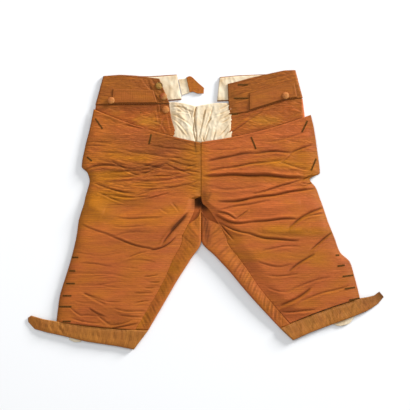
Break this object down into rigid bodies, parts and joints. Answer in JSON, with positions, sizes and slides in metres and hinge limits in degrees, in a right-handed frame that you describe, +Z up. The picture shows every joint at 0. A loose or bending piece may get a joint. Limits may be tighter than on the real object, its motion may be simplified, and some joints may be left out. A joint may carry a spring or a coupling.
{
  "type": "knee breeches",
  "caption": "Ribbed silk knee breeches with a whole fall front, laid flat front up with the fall unbuttoned over linen lining, knee vents, and knee bands with strap ends.",
  "frame": {"origin": "on the surface the breeches lie on, under the middle of their outline", "axes": "+Z up out of the surface, +Y towards the waist, +X to the right as seen from above"},
  "size_m": [0.818, 0.642, 0.0114],
  "materials": {
    "shot_silk": "ribbed changeable silk, copper and olive gold, soft sheen",
    "band_silk": "the same silk cut across its ribs, olive gold, soft sheen",
    "waistband_silk": "the same silk, browner, soft sheen",
    "bearer_silk": "plain orange silk, soft sheen",
    "linen": "unbleached plain linen, matt",
    "button_silk": "silk stretched over a mould, with a metal thread glint"
  },
  "bodies": {
    "root": {"back_left": "shot_silk", "back_right": "shot_silk", "back_strap": "linen", "back_strap_tip": "waistband_silk", "bearer_left": "bearer_silk", "bearer_right": "bearer_silk", "fall_button_left": "button_silk", "fall_button_right": "button_silk", "fob_welt_left": "waistband_silk", "fob_welt_right": "waistband_silk", "front_button_1": "button_silk", "front_button_2": "button_silk", "front_button_3": "button_silk", "front_left": "shot_silk", "front_right": "shot_silk", "knee_band_left": "band_silk", "knee_band_right": "band_silk", "knee_lining_right": "linen", "seat_lining_left": "linen", "seat_lining_right": "linen", "waistband_left": "waistband_silk", "waistband_lining_left": "linen", "waistband_lining_right": "linen", "waistband_right": "waistband_silk"}
  },
  "joints": []
}
